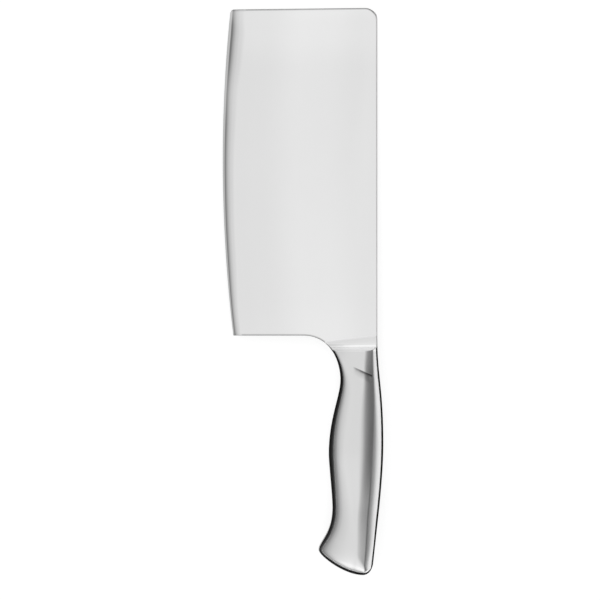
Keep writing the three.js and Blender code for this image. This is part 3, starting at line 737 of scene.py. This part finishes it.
# Painted shade along the crease at the joint, darkest at the crease and fading behind it
crease_offset = behind_line(
    (outline_x(BELLY, JOINT_BELLY), JOINT_BELLY),
    (outline_x(SPINE, JOINT_SPINE), JOINT_SPINE),
)
crease_place = math_node(handle_tree, "ADD", crease_offset, CREASE_SHADE_AHEAD)
crease_share = math_node(handle_tree, "DIVIDE", crease_place, CREASE_SHADE_WIDTH)
painted_crease_shade = ramp_node(handle_tree, crease_share, [
    (0.09, 1),
    (0.18, 0.2),
    (0.25, 0.22),
    (0.35, 0.52),
    (0.44, 0.7),
    (0.54, 0.79),
    (0.64, 0.85),
    (0.84, 0.93),
    (1, 1),
])
handle_spine_gap = math_node(handle_tree, "SUBTRACT", IN_FRAME.x, handle_parts.outputs["X"])
# Painted shade towards the belly of the bolster, over a band near the top of the ramp
painted_belly_shade = ramp_node(handle_tree, share_of(handle_tree, handle_spine_gap, BELLY_SHADE_WIDTH), [
    (0.42, 1),
    (0.55, 0.955),
    (0.67, 0.845),
    (0.8, 0.775),
])
belly_strength = ramp_node(handle_tree, share_of(handle_tree, behind_heel, BELLY_SHADE_LENGTH), [
    (0.22, 0),
    (0.265, 1),
    (0.305, 1),
    (0.36, 0.6),
    (0.9, 0),
])
crease_strength = ramp_node(handle_tree, share_of(handle_tree, handle_spine_gap, CREASE_SHADE_LENGTH), [
    (0.16, 0),
    (0.2, 1),
    (0.52, 1),
    (0.69, 0.7),
    (0.86, 0),
])
darken(handle_tree, handle_shader, handle_colour.outputs[0], (
    painted_foot_shade,
    painted_collar_light,
    faded(handle_tree, painted_belly_shade, belly_strength),
    faded(handle_tree, painted_crease_shade, crease_strength),
))
bolster.data.materials.append(handle_steel)
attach(bolster, "root")
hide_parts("bolster")


# Handle shells: two half shells pressed from 1 mm stainless sheet, welded to each other and to the
# bolster. Each has a flat side, a ridge line towards the spine, a hooked butt, and a shallow crease behind
# the slanting joint with the bolster, which the polishing leaves in front of the ridge.
SHELL_WALL = 1
HOOK = BELLY[-1][-1]
BUTT_CORNER = SPINE[-1][-1]
BUTT = [
    [HOOK, (-31.9, -119.2), (-18.5, -130.1), (-8, -130.1)],
    [(-8, -130.1), (-3.6, -130.1), (-2.3, -124.6), BUTT_CORNER],
]
BUTT_ROLL = 10
BUTT_CORNER_ROLL = 1.5
BUTT_ROLL_REACH = 2.4
BUTT_PROFILE = [(0, 1), (0.5, 1), (1, 0.75), (1, 0)]
BUTT_BLEND = 26
CREASE_DEPTH = 0.2
CREASE_LENGTH = 5
CREASE_START = 15.5
CREASE_TAPER = 3
SHELL_ROWS = 130
SHELL_ROW_CROWDING = 1.25
BUTT_ROWS = 30
shell_run = JOINT_SPINE - BUTT_CORNER[1]


def butt_y(x):
    """Where the outline of the butt lies at this distance from the spine line."""
    curve = BUTT[0] if x < BUTT[1][0][0] else BUTT[1]
    return bezier(curve, share_where(curve, lambda spot: spot[0] >= x))[1]


def crease_dip(distance, ridge):
    """Share of the crease's depth this far from the spine. It deepens towards the ridge and ends at it."""
    if distance <= ridge:
        return 0
    full = ridge + CREASE_TAPER
    return smooth(-distance, -CREASE_START, -full) * smooth(distance, ridge, full)


def butt_height(gap, roll):
    """Share of its full height that the shell has left this far before the end of the butt."""
    if gap >= roll:
        return 1
    return bezier(BUTT_PROFILE, share_where(BUTT_PROFILE, lambda spot: spot[0] >= 1 - gap / roll))[1]


def shell_row(share):
    """A row over the left shell, a share of the way from the joint to the butt. The butt rolls in over a
    shorter way towards the spine."""
    gap = (1 - share) * shell_run
    belly_y = lerp(JOINT_BELLY, HOOK[1], share)
    spine_y = lerp(JOINT_SPINE, BUTT_CORNER[1], share)
    swelling = smooth(share * shell_run, shell_run - BUTT_BLEND, shell_run)
    creased = CREASE_DEPTH * (1 - smooth(share * shell_run, 0, CREASE_LENGTH))
    row = []
    for plan, from_belly, from_spine, height, form in row_spots(belly_y, spine_y):
        if swelling > 0:
            across = from_belly / (from_belly + from_spine)
            chord_y = lerp(HOOK[1], BUTT_CORNER[1], across)
            plan.y += swelling * (butt_y(lerp(HOOK[0], BUTT_CORNER[0], across)) - chord_y)
        dip = creased * crease_dip(from_spine, form["ridge"])
        from_corner = smooth(from_spine, 0, BUTT_ROLL_REACH * form["ridge"])
        roll = lerp(BUTT_CORNER_ROLL, BUTT_ROLL, from_corner)
        row.append((plan.x, plan.y, height * butt_height(gap, roll) - dip))
    return row


roll_share = BUTT_ROLL / shell_run
shell_rows = []
for i in range(SHELL_ROWS):
    shell_rows.append(shell_row((i / SHELL_ROWS) ** SHELL_ROW_CROWDING * (1 - roll_share)))
for i in range(BUTT_ROWS + 1):
    reached = bezier(BUTT_PROFILE, i / BUTT_ROWS)[0]
    shell_rows.append(shell_row(1 - roll_share * (1 - reached)))
left_shell = pressed_sheet("handle_shell_left_side", shell_rows[::-1])
right_shell = pressed_sheet(
    "handle_shell_right_side",
    [[(x, y, -z) for x, y, z in row] for row in shell_rows],
)
for shell, node in ((left_shell, "handle_shell_left"), (right_shell, "handle_shell_right")):
    finish_modifier(shell, "SOLIDIFY", thickness=SHELL_WALL, offset=-1)
    settle(shell, HANDLE_SMOOTH_DEGREES)
    shell.data.materials.append(handle_steel)
    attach(shell, "root")
    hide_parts(node)


# Seam weld: the bead that joins the two shells down the spine, round the butt and back up the belly. It is
# ground flush with the sheet and polished, so it only shows as a slightly duller stripe.
SEAM_WIDTH = 1.6
SEAM_DEPTH = 0.6
SEAM_PROUD = 0.02
SEAM_SAG = 0.04
SEAM_ROWS = 100
SEAM_COLUMNS = 8
GROUND_TONE = 0.66
GROUND_ROUGHNESS = 0.32

seam_path = []
for i in range(SEAM_ROWS):
    y = lerp(JOINT_SPINE, BUTT_CORNER[1], i / SEAM_ROWS)
    seam_path.append(Vector((outline_x(SPINE, y), y)))
for curve in reversed(BUTT):
    seam_path += [Vector(bezier(curve, 1 - i / SEAM_ROWS)) for i in range(SEAM_ROWS)]
for i in range(SEAM_ROWS + 1):
    y = lerp(HOOK[1], JOINT_BELLY, i / SEAM_ROWS)
    seam_path.append(Vector((outline_x(BELLY, y), y)))
seam_rows = []
for before, here, after in zip(seam_path, seam_path[1:], seam_path[2:]):
    along = (after - before).normalized()
    outwards = Vector((-along.y, along.x))
    row = []
    for i in range(SEAM_COLUMNS + 1):
        side = 2 * i / SEAM_COLUMNS - 1
        spot = here + outwards * (SEAM_PROUD - SEAM_SAG * side ** 2)
        row.append((spot.x, spot.y, side * SEAM_WIDTH / 2))
    seam_rows.append(row)
seam = pressed_sheet("handle_seam_bead", seam_rows)
finish_modifier(seam, "SOLIDIFY", thickness=SEAM_DEPTH, offset=-1)
settle(seam, HANDLE_SMOOTH_DEGREES)
ground_weld = steel_material(
    "ground_weld", GROUND_TONE, GROUND_ROUGHNESS, {"Lines across": 6000, "Lines along": 400, "Depth": 1}
)[0]
seam.data.materials.append(ground_weld)
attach(seam, "root")
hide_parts("handle_seam_weld")


# Joint weld: the ring that joins the shells to the bolster along the slanting line. It is ground a hair
# below the sheet and polished over, so that nothing of it shows but the crease.
JOINT_DEPTH = 0.6
JOINT_SUNK = 0.02
JOINT_BEHIND = 0.8
JOINT_ROWS_AHEAD = 2


def sunk_ring(row):
    """A row over the left side, a little below the sheet, and carried on round the right side."""
    belly_x, spine_x = row[0][0], row[-1][0]
    top = max(z for x, y, z in row)
    upper = []
    for x, y, z in row:
        across = (x - belly_x) / (spine_x - belly_x)
        upper.append((x + lerp(JOINT_SUNK, -JOINT_SUNK, across), y, z * (1 - JOINT_SUNK / top)))
    return upper + [(x, y, -z) for x, y, z in upper[-2:0:-1]]


joint_front = bolster_rows[-1 - JOINT_ROWS_AHEAD]
joint_lines = (joint_front, shell_row(0), shell_row(JOINT_BEHIND / shell_run))
joint_rows = [list(spots) for spots in zip(*map(sunk_ring, joint_lines))]
joint = pressed_sheet("bolster_seam_bead", joint_rows + joint_rows[:1])
in_edit_mode(joint)
bpy.ops.mesh.select_all(action="SELECT")
bpy.ops.mesh.remove_doubles(threshold=MERGE_DISTANCE)
finish_modifier(joint, "SOLIDIFY", thickness=JOINT_DEPTH, offset=-1)
settle(joint, HANDLE_SMOOTH_DEGREES)
joint.data.materials.append(ground_weld)
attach(joint, "root")
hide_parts("bolster_seam_weld")


# Tang welds: two fillets inside the handle, between the tang and the back of the bolster. They are left
# as they set, dull and dark, and keep their CAD shape.
RAW_TONE = 0.42
RAW_ROUGHNESS = 0.55
RAW_TINT = (1, 0.97, 0.92)
raw_weld = steel_material(
    "raw_weld", RAW_TONE, RAW_ROUGHNESS, {"Lines across": 900, "Lines along": 1400, "Depth": 2}, RAW_TINT
)[0]
for node in ("tang_weld_left", "tang_weld_right"):
    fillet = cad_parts[node]
    for material_slot in fillet.material_slots:
        material_slot.material = raw_weld


# Stage: a pale floor under light from all round, in bands like those from the strip lamps and dark flags
# of a catalogue set. The floor leans so that the toe and the swell of the handle both rest on it. Its glow
# is seen by the camera and in the steel, and lights nothing else.
TOE_REST = (BLADE_LENGTH, -BLADE_HALF)
SWELL_REST = (-62, -9.5)
FLOOR_METRES = 20
FLOOR_TONE = 0.3
FLOOR_GLOW = 0.82
MAT_METRES = (4, 0.5)
MAT_OFFSET = (-40, 60)
MAT_LIFT = 0.4
LIGHT_STRENGTH = 1.775
LENS = 135
FRAME_WIDTH = 326.24
FRAME_CENTRE = (-41.99, 19.3)
floor_lean = math.atan2(TOE_REST[1] - SWELL_REST[1], TOE_REST[0] - SWELL_REST[0])
bpy.ops.mesh.primitive_plane_add(size=FLOOR_METRES, rotation=(floor_lean, 0, 0))
floor = bpy.context.object
floor.name = "floor"
floor.location = IN_FRAME + Vector((0, SWELL_REST[0], SWELL_REST[1])) / 1000
floor_paint = bpy.data.materials.new("floor_paint")
floor_paint.use_nodes = True
floor_tree = floor_paint.node_tree
floor_tree.nodes.clear()
floor_diffuse = add_node(floor_tree, "ShaderNodeBsdfDiffuse")
floor_diffuse.inputs["Color"].default_value = (FLOOR_TONE, FLOOR_TONE, FLOOR_TONE, 1)
rays = add_node(floor_tree, "ShaderNodeLightPath")
seen = math_node(floor_tree, "MAXIMUM", rays.outputs["Is Camera Ray"], rays.outputs["Is Glossy Ray"])
shown = math_node(floor_tree, "MAXIMUM", seen, rays.outputs["Is Transmission Ray"])
floor_glow = add_node(floor_tree, "ShaderNodeEmission", [
    ("Strength", math_node(floor_tree, "MULTIPLY", shown, FLOOR_GLOW)),
])
floor_sum = add_node(floor_tree, "ShaderNodeAddShader", [
    (0, floor_diffuse.outputs[0]),
    (1, floor_glow.outputs[0]),
])
add_node(floor_tree, "ShaderNodeOutputMaterial", [("Surface", floor_sum.outputs[0])])
floor.data.materials.append(floor_paint)

# A dark mat round the cleaver, paler far from its belly, which only shows as the dark line that it gives
# the rounded edges
bpy.ops.mesh.primitive_plane_add(size=1, rotation=(floor_lean, 0, 0))
mat = bpy.context.object
mat.name = "dark_mat"
mat.scale = (*MAT_METRES, 1)
mat_rise = MAT_OFFSET[1] * math.tan(floor_lean) + MAT_LIFT
mat.location = floor.location + Vector((*MAT_OFFSET, mat_rise)) / 1000
mat_cloth = bpy.data.materials.new("mat_cloth")
mat_cloth.use_nodes = True
mat_tree = mat_cloth.node_tree
mat_tree.nodes.clear()
mat_place = add_node(mat_tree, "ShaderNodeTexCoord")
mat_parts = add_node(mat_tree, "ShaderNodeSeparateXYZ", [("Vector", mat_place.outputs["Object"])])
mat_colour = ramp_node(mat_tree, math_node(mat_tree, "ADD", mat_parts.outputs["X"], 0.5), [
    (0.425, 0.36),
    (0.47, 0.15),
    (0.488, 0.075),
    (0.497, 0.03),
    (0.503, 0.01),
])
mat_diffuse = add_node(mat_tree, "ShaderNodeBsdfDiffuse", [("Color", mat_colour)])
add_node(mat_tree, "ShaderNodeOutputMaterial", [("Surface", mat_diffuse.outputs[0])])
mat.data.materials.append(mat_cloth)
mat.visible_camera = False
mat.visible_diffuse = False
mat.visible_shadow = False
mat.visible_transmission = False
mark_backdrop(floor, mat)

# Light from all round, in bands that run along the cleaver and brighten towards both of its ends
world = bpy.data.worlds.new("studio")
bpy.context.scene.world = world
world.use_nodes = True
world_tree = world.node_tree
world_place = add_node(world_tree, "ShaderNodeTexCoord")
world_parts = add_node(world_tree, "ShaderNodeSeparateXYZ", [
    ("Vector", world_place.outputs["Generated"]),
])
across_place = add_node(world_tree, "ShaderNodeCombineXYZ", [
    ("X", world_parts.outputs["X"]),
    ("Z", world_parts.outputs["Z"]),
])
across_way = add_node(world_tree, "ShaderNodeVectorMath", [
    (0, across_place.outputs[0]),
], operation="NORMALIZE")
across_parts = add_node(world_tree, "ShaderNodeSeparateXYZ", [("Vector", across_way.outputs[0])])


def as_share(value):
    """A value between -1 and 1 as a share between 0 and 1."""
    return math_node(world_tree, "MULTIPLY", math_node(world_tree, "ADD", value, 1), 0.5)


side_light = ramp_node(world_tree, as_share(across_parts.outputs["X"]), [
    (0, 0.21),
    (0.015, 0.35),
    (0.067, 0.55),
    (0.146, 0.69),
    (0.242, 0.75),
    (0.4, 0.815),
    (0.5, 0.825),
    (0.58, 0.78),
    (0.671, 0.66),
    (0.711, 0.53),
    (0.742, 0.41),
    (0.772, 0.295),
    (0.795, 0.24),
    (0.85, 0.14),
    (0.866, 0.108),
    (0.885, 0.15),
    (0.91, 0.235),
    (0.93, 0.335),
    (0.942, 0.43),
    (0.95, 0.6),
    (0.957, 0.82),
    (0.97, 0.98),
])
end_light = ramp_node(world_tree, as_share(world_parts.outputs["Y"]), [
    (0, 0.8),
    (0.05, 0.99),
    (0.12, 0.97),
    (0.2, 0.77),
    (0.4, 0.68),
    (0.5, 0.65),
    (0.58, 0.645),
    (0.66, 0.66),
    (0.85, 0.71),
    (0.93, 0.78),
    (0.98, 0.81),
    (1, 0.69),
])
world_light = add_node(world_tree, "ShaderNodeVectorMath", [
    (0, side_light),
    (1, end_light),
], operation="MULTIPLY")
background = world_tree.nodes["Background"]
background.inputs["Strength"].default_value = LIGHT_STRENGTH
world_tree.links.new(world_light.outputs[0], background.inputs["Color"])

camera_data = bpy.data.cameras.new("camera")
camera_data.lens = LENS
camera = bpy.data.objects.new("camera", camera_data)
bpy.context.scene.collection.objects.link(camera)
camera_height = FRAME_WIDTH * LENS / camera_data.sensor_width
camera.location = IN_FRAME + Vector((*FRAME_CENTRE, camera_height)) / 1000
bpy.context.scene.camera = camera
bpy.context.scene.view_settings.view_transform = "Standard"

[[list(corner) for corner in box] for box in (cad_box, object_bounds())]
